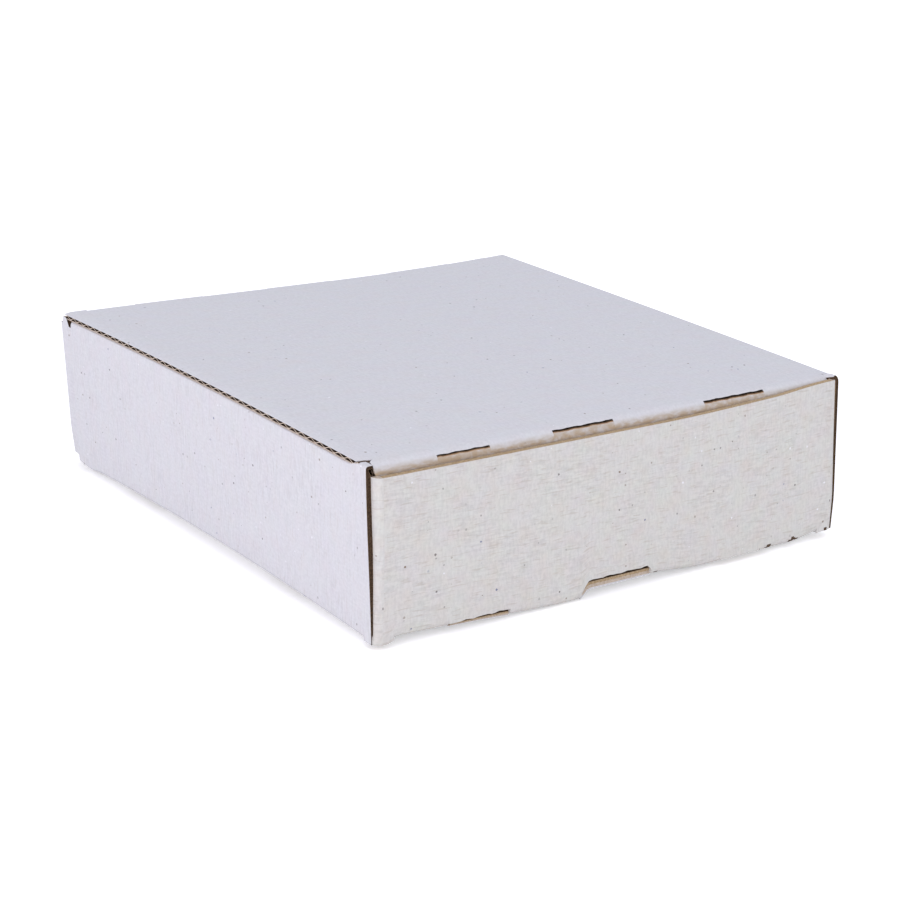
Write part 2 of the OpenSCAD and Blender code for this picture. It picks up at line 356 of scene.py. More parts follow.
def per_column(rows, m):
    """The same rows for each of m columns."""
    return np.repeat(rows[:, None], m, 1)


def same_normal(normal, rows):
    """One normal for a number of rows."""
    return np.tile(np.array(normal, float), (rows, 1))


def slab(path, normal, across, axis, thick=board_t):
    """Grids of the outer and inner faces of board that follows a path in two axes and runs along the third.
    path and normal have a row for each step, or a row for each step and column."""
    n, m = path.shape[0], len(across) if np.ndim(across) == 1 else across.shape[1]
    if path.ndim == 2:
        path, normal = per_column(path, m), per_column(normal, m)
    run = np.broadcast_to(across, (n, m))
    both = []
    for depth in (np.zeros((n, m)), np.broadcast_to(thick, (n, m))):
        q = path + normal * depth[..., None]
        parts = [q[..., 0], q[..., 1]]
        parts.insert(axis, run)
        both.append(np.stack(parts, -1))
    return both


def path_length(path):
    """Length along a path at each of its points."""
    return np.concatenate([[0], np.cumsum(np.linalg.norm(np.diff(path, axis=0), axis=1))])


def sheet_uv(a, b):
    """Places on the sheet from two grids, or rows and columns, of millimetres across and along it."""
    return np.stack(np.broadcast_arrays(a, b), -1)


# How the worn tray's walls lie, as moves of points in millimetres


def front_rise(p):
    """The tray's right front corner stands up past the end of the lid."""
    x, y, z = p.T
    rise = 2.4 * grow(x, 20, 95) + 1.8 * grow(x, 78, 36)
    return rise * grow(-y, 106, 12) * (np.clip(z, 0, box_h) / box_h) ** 1.5


def near_foot(z):
    """How far the left front corner is pressed together: all the way at its foot, and less higher up."""
    return smooth(1 - z / 42)


def worn_corners(p):
    """The right front and left back corners are worn round where the box stands on them."""
    x, y, z = p.T
    low = np.clip(1 - z / 16, 0, 1)
    right = low * grow(x, 92, 22) * grow(-y, 95, 20)
    left = low * grow(-x, 92, 22) * grow(y, 100, 18)
    out = p.copy()
    out[:, 0] -= 1.4 * right
    out[:, 1] -= 1.5 * left
    out[:, 2] += 2.0 * right + (2.6 + 1.6 * grow(y, 114, 5)) * left
    return out


def foot_sag(p):
    """The front wall's lower edge hangs left of the middle cut, and is drawn up there and at its left end."""
    out = worn_corners(p)
    x, y, z = out.T
    hang = 1.3 * grow(x, -112, 70) * grow(-x, 17, 5)
    middle = 2.0 * grow(x, -23, 5) * smooth((42 - x) / 27)
    left_end = 1.4 * grow(x, -113, 6) * smooth((-28 - x) / 50)
    drop = (hang - middle - left_end) * np.clip(1 - z / 40, 0, 1) * grow(-y, 70, 45)
    out[:, 2] -= drop
    return out


def front_wall_shape(p):
    """The front wall's folds bulge out to the corners, on the left most of all at the foot."""
    x, y, z = p.T
    right = (3.2 - 1.4 * z / box_h) * grow(x, 100, 15)
    left = (0.7 + 1.3 * near_foot(z) + 0.6 * smooth(1 - z / 6)) * grow(-x, 70, 45)
    out = p.copy()
    out[:, 0] += grow(-y, 108, 10) * (right - left)
    out[:, 2] += front_rise(p)
    return foot_sag(out)


def back_wall_shape(p):
    """The back wall's left end stands out behind the side wall."""
    x, y, z = p.T
    reach = grow(-x, 103, 9) * grow(y, 96, 20) * (0.5 + 0.5 * z / box_h)
    out = p.copy()
    out[:, 0] -= 2.8 * reach
    out[:, 1] += 4.2 * reach
    out[:, 2] -= 1.8 * reach * grow(z, 40, 26) * grow(y, 116, 2)
    return worn_corners(out)


def side_wall_shape(p):
    """The left wall ends short of the front fold, and both walls stand up where the lid leaves them free."""
    x, y, z = p.T
    left = grow(-x, 90, 15)
    right_rise = front_rise(p) * grow(x, 112, 4)
    left_rise = 2.3 * left * grow(-y, 106, 10) * (np.clip(z, 0, box_h) / box_h) ** 2
    out = p.copy()
    out[:, 1] += (1.3 + 1.5 * smooth(z / 62)) * left * grow(-y, 95, 25)
    out[:, 2] += right_rise + left_rise
    return worn_corners(out)


# Front and back walls

wall_zs = spread([bend_o, bend_o + 1.2, bend_o + 2.6, dust_top, front_top], STEP)
wall_stops = [e for c in (*cuts, *nicks) for e in c[:2]] + [s * (inner_x - layer_gap) for s in (-1, 1)]
wall_stops += [x for c in front_cuts for x in spread(c, TEAR_STEP)]
wall_columns = {
    back: columns(-fold_x, fold_x, [(-fold_x, -crease_x), *own, (crease_x, fold_x)], STEP, wall_stops)
    for back, own in ((False, front_cuts), (True, cuts))
}
# Of the open stretches along a wall's lower crease, the first and last are its feet, and the rest its cuts
FEET = (0, crease_cuts + 1)


def end_wall_path(back):
    """Outer line of an end wall from its top edge to the base, with the normals into the board."""
    top = back_top if back else front_top
    zs = [z for z in wall_zs if z <= dust_top] + [dust_top + (top - dust_top) * k / 2 for k in (1, 2)]
    crease, crease_n = arc(bend_o - half_d, bend_o, bend_o, 180, 270, BEND)
    path = [np.array([(-half_d, z) for z in zs[::-1]]), crease[1:]]
    normal = [same_normal((1, 0), len(zs)), crease_n[1:]]
    if back:
        hinge, hinge_n = arc(bend_o - half_d, back_top, bend_o, 135, 180, HINGE)
        path.insert(0, hinge[:-1])
        normal.insert(0, hinge_n[:-1])
    return np.concatenate(path), np.concatenate(normal)


def cut_lips(back, cut, x):
    """At x along a cut in an end wall's lower crease: the height of the wall's lip, and the share of its
    thickness that the base's lip keeps."""
    x0, x1 = (cuts if back else front_cuts)[cut]
    t = (x - x0) / (x1 - x0)
    left, right = cut_open[back][cut]
    low = board_t + left * (1 - t) + right * t
    if not back:
        low += front_cut_tear * ragged(x)
    ease = min(1.0, (x - x0) / cut_slant, (x1 - x) / (cut_slant if back else front_cut_slant))
    shut = bend_o - lip_shut_drop
    left, right = base_crush[back][cut]
    return min(low, shut + (low - shut) * ease), left * (1 - t) + right * t


def end_wall_state(kinds, n, hinge):
    """Which cells of an end wall are there: its feet and cuts are open at the lower crease, and its feet
    at the hinge too."""
    foot = n - BEND - 1
    state = np.full((n - 1, len(kinds) - 1), PRESENT)
    for j, (k, following) in enumerate(zip(kinds, kinds[1:])):
        if k != following:
            state[:, j] = JOINED
            state[:hinge, j] = ABSENT
            state[foot:, j] = ABSENT
        elif k in FEET:
            state[foot + LIP :, j] = ABSENT
            state[:hinge, j] = ABSENT
        elif k >= 0:
            state[foot + LIP : foot + BEND - LIP, j] = ABSENT
    return state


def open_end_wall(p, q, thick, back):
    """Parts an end wall from the base at its feet and cuts, and the back wall from the lid at its cuts."""
    xs, kinds = wall_columns[back]
    foot = len(p) - BEND - 1
    base_lip = foot + BEND - LIP
    for j in np.flatnonzero(kinds >= 0):
        is_cut = kinds[j] not in FEET
        low, crush, reach = 0.0, 1.0, 0.0
        if is_cut:
            low, crush = cut_lips(back, kinds[j] - 1, xs[j])
            reach = base_run[back][kinds[j] - 1]
        # A cut that stands open higher than the bend draws the rows above it closer together
        up = OPEN_ROWS if low > bend_o else 0
        rows = up + LIP
        start = p[foot - up, j, 1]
        lip = [(-half_d, start + (low - start) * r / rows) for r in range(rows + 1)]
        p[foot - up : foot + LIP + 1, j] = lip
        q[: foot + LIP + 1, j] = (1, 0)
        p[base_lip:, j] = [(bend_o - half_d - reach * (LIP - r) / LIP, 0) for r in range(LIP + 1)]
        q[base_lip:, j] = (0, 1)
        thick[base_lip : base_lip + 2, j] *= (crush, (1 + crush) / 2)
        if back and is_cut:
            drop = hinge_cut_top - back_top
            p[: HINGE + 1, j] = [(-half_d, hinge_cut_top - drop * r / HINGE) for r in range(HINGE + 1)]


def end_wall(board, back):
    """Front wall, or the back wall with the tray's half of the hinge crease, and the crease to the base."""
    xs, kinds = wall_columns[back]
    path, normal = end_wall_path(back)
    n, m = len(path), len(xs)
    foot = n - BEND - 1
    p, q = per_column(path, m), per_column(normal, m)
    thick = np.full((n, m), board_t)
    open_end_wall(p, q, thick, back)
    if not back:
        # The front wall's top edge is pressed thinner
        thick[:3] *= np.array([0.9, 0.95, 1.0])[:, None]
    # Faces painted in the medium's shaded colour: the inner faces of the lower crease, and the outer faces at
    # the nicks, where the dark stands for ripped paper and for painted shade in holes
    torn = {(i, j, 1) for i in range(foot, n - 1) for j in range(m - 1)}
    for x0, x1, first, last in [] if back else nicks:
        in_nick = [j for j in range(m - 1) if x0 < (xs[j] + xs[j + 1]) / 2 < x1]
        torn |= {(i, j, 0) for i in range(foot + first, foot + last) for j in in_nick}
    outer, inner = slab(p, q, xs, 0, thick)
    if back:
        outer[..., 1] *= -1
        inner[..., 1] *= -1
    uv = sheet_uv(xs[None, :], path_length(path)[:, None] + SHEET_START["back" if back else "front"])
    ends = (path[:-1, 1] + path[1:, 1]) / 2 > dust_top

    def cut(i, k):
        if back:
            return layered(EDGE)
        if k > 1:
            return solid(FRONT)
        return solid(BROWN) if i < 2 else TORN_LIP

    board.patch(
        outer, inner, uv, end_wall_state(kinds, n, HINGE if back else 0), cut, (True, False, ends, ends),
        (WHITE if back else FRONT, KRAFT), back_wall_shape if back else front_wall_shape, torn,
    )


# Side walls, base and dust flaps

side_ranges = [(side_y0, side_y0 + foot_l), (side_y1 - foot_l, side_y1)]


def to_side(y):
    """Place on a side wall's outer panel that rolls over to y on the inner one."""
    return side_y0 + (y - roll_y0) / (roll_y1 - roll_y0) * (side_y1 - side_y0)


tab_stops = [to_side(y + s * tab_w / 2) for y in tab_ys for s in (-1, 1)]
slot_stops = [y + s * (tab_w / 2 + layer_gap) for y in tab_ys for s in (-1, 1)]
side_ys, side_kinds = columns(side_y0, side_y1, side_ranges, STEP, [*tab_stops, *slot_stops])
joined_ys = side_ys[side_kinds < 0]
base_ys = np.array(sorted({bend_o - half_d, half_d - bend_o, *joined_ys.tolist()}))


def base(board):
    """The base, with the slots that the side walls' tabs lock into."""
    edge_x = half_w - bend_o
    slot_x = (inner_x - layer_gap, inner_x + board_t + layer_gap)
    side_xs = [s * x for s in (-1, 1) for x in (edge_x, slot_x[1])]
    xs = np.array(sorted({*wall_columns[False][0].tolist(), *side_xs}))
    path = np.stack([base_ys, np.zeros(len(base_ys))], 1)
    outer, inner = slab(path, same_normal((0, 1), len(path)), xs, 0)
    mid_x, mid_y = (xs[1:] + xs[:-1]) / 2, (base_ys[1:] + base_ys[:-1]) / 2
    state = np.full((len(mid_y), len(mid_x)), PRESENT)
    for y in tab_ys:
        hit = np.abs(mid_y - y) < tab_w / 2 + layer_gap
        state[np.ix_(hit, (np.abs(mid_x) > slot_x[0]) & (np.abs(mid_x) < slot_x[1]))] = ABSENT
    ends = np.abs(mid_x) > crease_x
    sides = (mid_y < joined_ys[0]) | (mid_y > joined_ys[-1])
    uv = sheet_uv(xs[None, :], base_ys[:, None] + SHEET_START["base"])
    raw = (ends, ends, sides, sides)
    board.patch(outer, inner, uv, state, lambda i, k: layered(EDGE), raw, tweak=foot_sag)


def side_wall_state(n, roll_ys):
    """Which cells of a side wall are there: its feet are open below, and its last row is the tabs."""
    state = np.full((n - 1, len(side_ys) - 1), PRESENT)
    for j in range(len(side_ys) - 1):
        same = side_kinds[j] == side_kinds[j + 1]
        if not same:
            state[:, j] = JOINED
            state[:BEND, j] = ABSENT
        elif side_kinds[j] >= 0:
            state[: BEND - LIP, j] = ABSENT
        mid = (roll_ys[j] + roll_ys[j + 1]) / 2
        if not same or not any(abs(mid - y) < tab_w / 2 for y in tab_ys):
            state[-1, j] = ABSENT
    return state


def square_left_bends(p, top_row):
    """The left wall's bends are squarer at its free front corner and at its back foot."""
    for j, y in enumerate(side_ys):
        turn = squared_bend(6 - 2 * grow(y, side_y0, 18))
        p[top_row - BEND : top_row + 1, j] = np.array([half_w, roll_top]) - bend_o + bend_o * turn
        if side_kinds[j] < 0:
            turn = squared_bend(2 + 8 * (1 - grow(side_y1 - foot_l - y, 0, 14))) * (1, -1)
            p[: BEND + 1, j] = np.array([half_w - bend_o, bend_o]) + bend_o * turn[::-1]


def side_wall_thickness(z, sign):
    """A side wall's ends are crushed, the left one's front end most at its foot and its rolled top."""
    front = 0.7
    if sign < 0:
        front = 0.9 - 0.55 * near_foot(z) - 0.45 * grow(z, 62.5, 2)
    front_end = front + (1 - front) * grow(side_ys, side_y0, 6)
    back_end = 0.55 + 0.45 * grow(side_y1 - side_ys, 0, 5)
    return board_t * np.minimum(front_end, back_end)


def side_wall(board, sign):
    """A side wall: up from the base, over the dust flaps, and down again to its tabs."""
    low, low_n = arc(half_w - bend_o, bend_o, bend_o, 270, 360, BEND)
    high, high_n = arc(half_w - bend_o, roll_top - bend_o, bend_o, 0, 90, BEND)
    over, over_n = arc(inner_fold_x, roll_top - bend_o, bend_o, 90, 180, BEND)
    up = [(half_w, z) for z in spread([bend_o, roll_top - bend_o], STEP)[1:-1]]
    down = [(inner_x, z) for z in spread([roll_top - bend_o, layer_z], STEP)[1:]] + [(inner_x, tab_lift)]
    path = np.concatenate([low, up, high, over, down])
    up_n, down_n = same_normal((-1, 0), len(up)), same_normal((1, 0), len(down))
    normal = np.concatenate([low_n, up_n, high_n, over_n, down_n])
    n, m = len(path), len(side_ys)
    top_row = len(low) + len(up) + len(high) - 1
    roll_ys = roll_y0 + (roll_y1 - roll_y0) * (side_ys - side_y0) / (side_y1 - side_y0)
    across = np.repeat(side_ys[None, :], n, 0)
    across[top_row + 1 :] = roll_ys
    p, q = per_column(path, m), per_column(normal, m)
    for j in np.flatnonzero(side_kinds >= 0):
        p[BEND - LIP : BEND + 1, j] = [(half_w, bend_o * r / LIP) for r in range(LIP + 1)]
        q[BEND - LIP : BEND + 1, j] = (-1, 0)
    if sign < 0:
        square_left_bends(p, top_row)
    outer, inner = slab(p, q, across, 1, side_wall_thickness(p[..., 1], sign))
    outer[..., 0] *= sign
    inner[..., 0] *= sign
    uv = sheet_uv(path_length(path)[:, None] + SHEET_START["left" if sign < 0 else "right"], across)
    state = side_wall_state(n, roll_ys)
    # Its cut edges use the darker cut-edge material: the board's brown edge with painted shade
    board.patch(
        outer, inner, uv, state, lambda i, k: layered(SHADED_CUT), (False, True, True, True), tweak=side_wall_shape
    )


def dust_flap(board, sx, sy):
    """A flap that folds round from the front or back wall and is shut inside a side wall. The left back
    one shows behind its side wall: its fold is full height, and pressed flat near the top."""
    shows = sx < 0 < sy
    start_y, end_y = bend_o - half_d, dust_l - half_d
    zs = np.array([0, bend_o / 2] + [z for z in wall_zs if z <= dust_top + TINY])
    fold, fold_n = arc(fold_x, start_y, bend_o, 270, 360, BEND)
    ys = spread([start_y, start_y + 1.5, start_y + 6, end_y - dust_chamfer, end_y], FLAP_STEP)[1:]
    if shows:
        ys = sorted({*ys, *[start_y + 0.6 * k for k in range(1, 10)]})
    path = np.concatenate([fold, [(end_w / 2, y) for y in ys]])
    normal = np.concatenate([fold_n, same_normal((-1, 0), len(ys))])
    across = np.repeat(zs[None, :], len(path), 0)
    thick = np.full(across.shape, board_t)
    foot_end = 8.0 if shows else bend_o
    for i, (_, y) in enumerate(path):
        trim = max(0.0, y - end_y + dust_chamfer)
        from_end = y + half_d
        low = trim + layer_z * min(1.0, max(0.0, from_end - foot_end) / 1.5)
        rise = 0.0
        if shows:
            rise = np.interp(from_end, [3.1, 4.8, 7.2, 8.6], [back_top - dust_top, 4.4, 4.0, 0.0])
            pressed = np.interp(from_end, [2.0, 4.0, 7.0, 9.0], [0, 1, 1, 0])
            thick[i] *= 1 - 0.7 * grow(zs, 56, 5) * pressed
        elif sy < 0:
            rise = (front_top - dust_top) * (1 - grow(from_end, bend_o, 3))
        across[i] = low + zs / zs[-1] * (dust_top + rise - trim - low)
    outer, inner = slab(path, normal, across, 2, thick)
    for grid in (outer, inner):
        grid[..., 0] *= sx
        grid[..., 1] *= -sy
    state = np.full((len(path) - 1, len(zs) - 1), PRESENT)
    uv = sheet_uv(path_length(path)[:, None] + SHEET_START["dust"], across)
    # The back flaps' cut edges use the darker cut-edge material, which holds painted shade
    rim = layered(SHADED_CUT) if sy > 0 else solid(EDGE)
    board.patch(
        outer, inner, uv, state, lambda i, k: rim, (False, True, True, True),
        (WHITE if sy > 0 else FRONT, KRAFT), back_wall_shape if sy > 0 else front_wall_shape,
    )


# The lid

# Thickness of the lid's medium, and of its inner liner with the crushed foot of the flutes on it
medium_t, under_t = 0.46, 0.45
# Where the lid's close rows end, a little past the strip that bends as it opens
bending_end = half_d - 2.4 * bend_o
# Left of the hinge crease the lid's corner is cut free by a slit of this width, and isn't bent: it runs
# straight on this far past where the bend starts
corner_slit, corner_run = 0.3, 2.0
left_corner_x = -crease_x - corner_slit / 2
# The lid's left edge is pressed thinner, from above: how far down, and over what width
edge_press, edge_press_w = 0.5, 3.0


def medium_faces(s):
    """Depths of the wavy medium's two faces at a length along the lid."""
    lo, hi = paper_t + medium_t / 2, board_t - under_t - medium_t / 2
    middle = (lo + hi) / 2 + (hi - lo) / 2 * np.cos(2 * np.pi * s / flute_pitch)
    return middle - medium_t / 2, middle + medium_t / 2


def lid_rows(row_step):
    """The lid's outer line from the hinge crease to the tuck flap's lower edge, the normals into the
    board, half the lid's width in each row, and the row where the front fold starts."""
    hinge, hinge_n = arc(half_d - bend_o, back_top, bend_o, 45, 90, HINGE)
    turn, turn_n = arc(lid_fold_y, box_h - tuck_o, tuck_o, 90, 180 + tuck_lean, BEND)
    notch = lid_fold_y + lid_notch_l
    bending = spread([half_d - bend_o, bending_end], BENDING_STEP)
    still = spread([bending_end, notch + lid_notch_slant, notch, lid_fold_y], row_step)
    flat = [(y, box_h) for y in bending[1:] + still[1:-1]]
    down = np.array([math.sin(lean), -math.cos(lean)])
    corner_rows = [tuck_l - share * tuck_corner_r for share in (1, 0.6, 0.3, 0.1, 0)]
    run = spread([0, *corner_rows], row_step)[1:]
    path = np.concatenate([hinge, flat, turn, [turn[-1] + down * r for r in run]])
    flat_n, flap_n = same_normal((0, -1), len(flat)), same_normal(turn_n[-1], len(run))
    normal = np.concatenate([hinge_n, flat_n, turn_n, flap_n])
    turn_row = len(hinge) + len(flat)
    half = np.full(len(path), lid_w / 2)
    half[path[:, 0] <= notch + TINY] = tuck_w / 2
    half[turn_row:] = tuck_w / 2
    for i, r in enumerate(run, turn_row + BEND + 1):
        into_corner = max(0.0, tuck_corner_r - (tuck_l - r))
        half[i] -= tuck_corner_r - math.sqrt(max(0.0, tuck_corner_r**2 - into_corner**2))
    return path, normal, half, turn_row


def lid_columns(col_step):
    """Places across the lid, and for each the numbers of the cut in the front fold and of the cut in the
    hinge crease that it lies in, or -1. The ends of a cut come twice."""
    stops = [e for c in cuts for e in c] + [k * x for k in (-1, 1) for x in (crease_x, tuck_w / 2)]
    stops += [-crease_x - corner_slit, *[share * edge_press_w - lid_w / 2 for share in (0.4, 1)]]
    if col_step <= STEP:
        stops += [x for c in lid_cuts for x in spread(c, TEAR_STEP)]
    places, kinds = [], []
    for x, front in zip(*columns(-lid_w / 2, lid_w / 2, lid_cuts, col_step, stops)):
        hinge = [i for i, (x0, x1) in enumerate(cuts) if x0 < x < x1] or [-1]
        for i, (x0, x1) in enumerate(cuts):
            if abs(x - x0) < TINY:
                hinge = [-1, i]
            elif abs(x - x1) < TINY:
                hinge = [i, -1]
        places += [x] * len(hinge)
        kinds += [(front, h) for h in hinge]
    return np.array(places), kinds


def lid_state(xs, kinds, half, turn_row):
    """Which cells of a layer of the lid are there: it is open at its cuts, at the slit left of the hinge
    crease and right of that crease, and narrower from the notches on."""
    state = np.full((len(half) - 1, len(xs) - 1), PRESENT)
    for j in range(len(xs) - 1):
        (front, hinge), (next_front, next_hinge) = kinds[j], kinds[j + 1]
        if xs[j] == xs[j + 1]:
            state[:, j] = JOINED
            if hinge != next_hinge:
                state[:HINGE, j] = ABSENT
            if front != next_front:
                state[turn_row : turn_row + BEND, j] = ABSENT
        elif front >= 0 and next_front >= 0:
            state[turn_row + LIP : turn_row + BEND - LIP, j] = ABSENT
        if xs[j] > crease_x - TINY or xs[j] < left_corner_x < xs[j + 1]:
            state[:HINGE, j] = ABSENT
        if abs(xs[j] + xs[j + 1]) / 2 > tuck_w / 2:
            state[half[:-1] <= tuck_w / 2 + TINY, j] = ABSENT
    return state


def lid_grid(p, q, run_x, sunk):
    """A face of one layer of the lid, sunk below the outer line. The front fold runs on past both ends of
    the flap below it, and the right corner lies a little further out."""
    y, z = np.moveaxis(p + q * sunk[..., None], -1, 0)
    past_flap = 3.0 * grow(run_x, 95, 15) - 2.3 * grow(-run_x, 95, 15)
    at_fold = grow(z, 62.5, 3) * smooth((lid_fold_y + 1 - y) / 2)
    corner = 3.0 * grow(run_x, 112, 4) * grow(-y, 100, 10)
    return np.stack([run_x + past_flap * at_fold, y - corner, z], -1)


def open_lid(p, q, length, crush, xs, kinds, turn_row):
    """Straightens the lid at the hinge crease's cuts and at its free corner, and parts the front fold's cuts
    into two crushed lips."""
    lip_row = turn_row + BEND - LIP
    fold_length = length[turn_row, 0]
    for j, (front, hinge) in enumerate(kinds):
        if hinge >= 0 or xs[j] < left_corner_x:
            reach = cut_run if hinge >= 0 else corner_run
            p[: HINGE + 1, j] = [(half_d - bend_o + reach * (1 - r / HINGE), box_h) for r in range(HINGE + 1)]
            q[: HINGE + 1, j] = (0, -1)
        if front < 0:
            continue
        upper = slit_arc[front][0] + slit_tear * ragged(xs[j])
        lower = slit_arc[front][1] + slit_tear * ragged(xs[j] + lip_shift)
        for row, a0, a1, tint_run in ((turn_row, 90, upper, 0.0), (lip_row, lower, 180 + tuck_lean, lip_tint_shift)):
            rows = slice(row, row + LIP + 1)
            p[rows, j], q[rows, j] = arc(lid_fold_y, box_h - tuck_o, tuck_o, a0, a1, LIP)
            turned = np.radians(np.linspace(a0, a1, LIP + 1) - 90)
            length[rows, j] = fold_length + tuck_o * turned + np.linspace(tint_run, 0, LIP + 1)
        crush[turn_row : turn_row + LIP + 1, j] = (1.0, 0.8, slit_crush[front])
        crush[lip_row : lip_row + LIP + 1, j] = (slit_crush[front], 0.8, 1.0)


def lid_layer(board, depth, row_step, col_step, slots, rim):
    """One paper of the lid. depth gives how far its two faces lie below the outer face, from the length
    along the board, and rim is the slot of its cut edges at the lid's sides."""
    path, normal, half, turn_row = lid_rows(row_step)
    xs, kinds = lid_columns(col_step)
    m = len(xs)
    s = path_length(path)
    p, q, length = per_column(path, m), per_column(normal, m), per_column(s, m)
    crush = np.ones((len(path), m))
    open_lid(p, q, length, crush, xs, kinds, turn_row)
    run_x = np.clip(xs[None, :], -half[:, None], half[:, None])
    pressed = edge_press * smooth((edge_press_w - lid_w / 2 - run_x) / edge_press_w)
    sunk = [pressed + d[:, None] * crush * (1 - pressed / board_t) for d in depth(s)]
    outer, inner = (lid_grid(p, q, run_x, d) for d in sunk)

    def cut(i, k):
        if k > 1:
            return solid(rim)
        if k == 0 and i == turn_row + BEND - LIP and slots[0] == WHITE:
            return FRAYED_LIP
        # Cut edges across the lid past its first row take the medium's colour darkened with painted shade, as
        # in the dark gaps of the fold's cuts
        return solid(SHADED_CORE if i else KRAFT)

    uv = sheet_uv(run_x, length + SHEET_START["lid"])
    board.patch(outer, inner, uv, lid_state(xs, kinds, half, turn_row), cut, slots=slots)


# Materials


class Nodes:
    """Short forms for building the nodes of a material or of the world."""

    def __init__(self, tree):
        self.tree = tree

    def node(self, kind, values=(), **settings):
        n = self.tree.nodes.new("ShaderNode" + kind)
        for k, v in settings.items():
            setattr(n, k, v)
        for k, v in dict(values).items():
            self.put(v, n.inputs[k])
        return n

    def put(self, value, socket):
        """Links a socket to another node's output, or sets it to a plain value."""
        if isinstance(value, bpy.types.NodeSocket):
            self.tree.links.new(value, socket)
        else:
            socket.default_value = value

    def math(self, operation, a, b=0.0, c=0.0):
        return self.node("Math", {0: a, 1: b, 2: c}, operation=operation).outputs[0]

    def noise(self, vector, scale, detail=2.0, rough=0.5):
        values = {"Vector": vector, "Scale": scale, "Detail": detail, "Roughness": rough}
        return self.node("TexNoise", values).outputs[0]

    def ramp(self, value, lo, hi, a=0.0, b=1.0):
        """Goes smoothly from a, where the value is lo or less, to b, where it is hi or more."""
        values = {"Value": value, 1: lo, 2: hi, 3: a, 4: b}
        return self.node("MapRange", values, interpolation_type="SMOOTHSTEP").outputs[0]

    def mix(self, factor, a, b, blend="MIX"):
        return self.node("Mix", {0: factor, 6: a, 7: b}, data_type="RGBA", blend_type=blend).outputs[2]

    def seen(self):
        """1 for what the camera sees, mirrored or through glass too, and 0 for light on other things."""
        ray = self.node("LightPath")
        either = self.math("MAXIMUM", ray.outputs["Is Camera Ray"], ray.outputs["Is Glossy Ray"])
        return self.math("MAXIMUM", either, ray.outputs["Is Transmission Ray"])


class Material(Nodes):
    """The nodes of a new material."""

    def __init__(self, name):
        self.material = bpy.data.materials.new(name)
        self.material.use_nodes = True
        super().__init__(self.material.node_tree)
        self.shader = next(n for n in self.tree.nodes if n.type == "BSDF_PRINCIPLED")

    def finish(self, colour, height, rough=0.85, strength=0.35, distance=0.0003):
        bump = self.node("Bump", {"Height": height, "Strength": strength, "Distance": distance})
        self.put(colour, self.shader.inputs["Base Color"])
        self.put(bump.outputs[0], self.shader.inputs["Normal"])
        self.shader.inputs["Roughness"].default_value = rough
        self.shader.inputs["Specular IOR Level"].default_value = 0.2
        return self.material


def rgb(r, g, b):
    """Linear colour from 8-bit values as they show on screen."""
    shown = [c / 255 for c in (r, g, b)]
    return tuple(c / 12.92 if c < 0.04 else ((c + 0.055) / 1.055) ** 2.4 for c in shown) + (1.0,)


PURE_WHITE = (1.0, 1.0, 1.0, 1.0)
# Colours of the specks in the paper, and from which draw on each is used
SPECKS = (
    (0.0, rgb(92, 84, 80)), (0.5, rgb(120, 98, 74)), (0.68, rgb(96, 106, 140)), (0.8, rgb(240, 240, 244)),
)
# Where the lid's front fold starts along the sheet
FOLD_START = SHEET_START["lid"] + bend_o * math.pi / 4 + half_d - bend_o - lid_fold_y


def speckled(n, uv, colour, share):
    """A colour with small and large specks of other fibres. share is what part of the cells holds one."""
    wander = n.node("TexNoise", {"Vector": uv, "Scale": 2400.0, "Detail": 1.0}).outputs["Color"]
    amount = (0.0006, 0.0006, 0.0)
    moved = n.node("VectorMath", {0: wander, 1: amount, 2: uv}, operation="MULTIPLY_ADD").outputs[0]
    for scale, part, size in ((300.0, share, 0.11), (110.0, 0.8 * share, 0.05)):
        cells = n.node("TexVoronoi", {"Vector": moved, "Scale": scale}, voronoi_dimensions="2D")
        draw = n.node("SeparateColor", {0: cells.outputs["Color"]})
        radius = n.math("MULTIPLY_ADD", draw.outputs[1], size, 0.4 * size)
        inside = n.ramp(n.math("DIVIDE", cells.outputs["Distance"], radius), 0.7, 1.2, 1.0, 0.0)
        chosen = n.math("LESS_THAN", draw.outputs[0], part)
        tone = n.node("ValToRGB", {0: draw.outputs[2]})
        tone.color_ramp.interpolation = "CONSTANT"
        while len(tone.color_ramp.elements) < len(SPECKS):
            tone.color_ramp.elements.new(0.5)
        for element, (place, value) in zip(tone.color_ramp.elements, SPECKS):
            element.position, element.color = place, value
        strength = n.math("MULTIPLY", n.math("FRACT", n.math("MULTIPLY", draw.outputs[2], 7.0)), 0.9)
        cover = n.math("MULTIPLY", n.math("MULTIPLY", inside, chosen), strength)
        colour = n.mix(cover, colour, tone.outputs[0])
    return colour


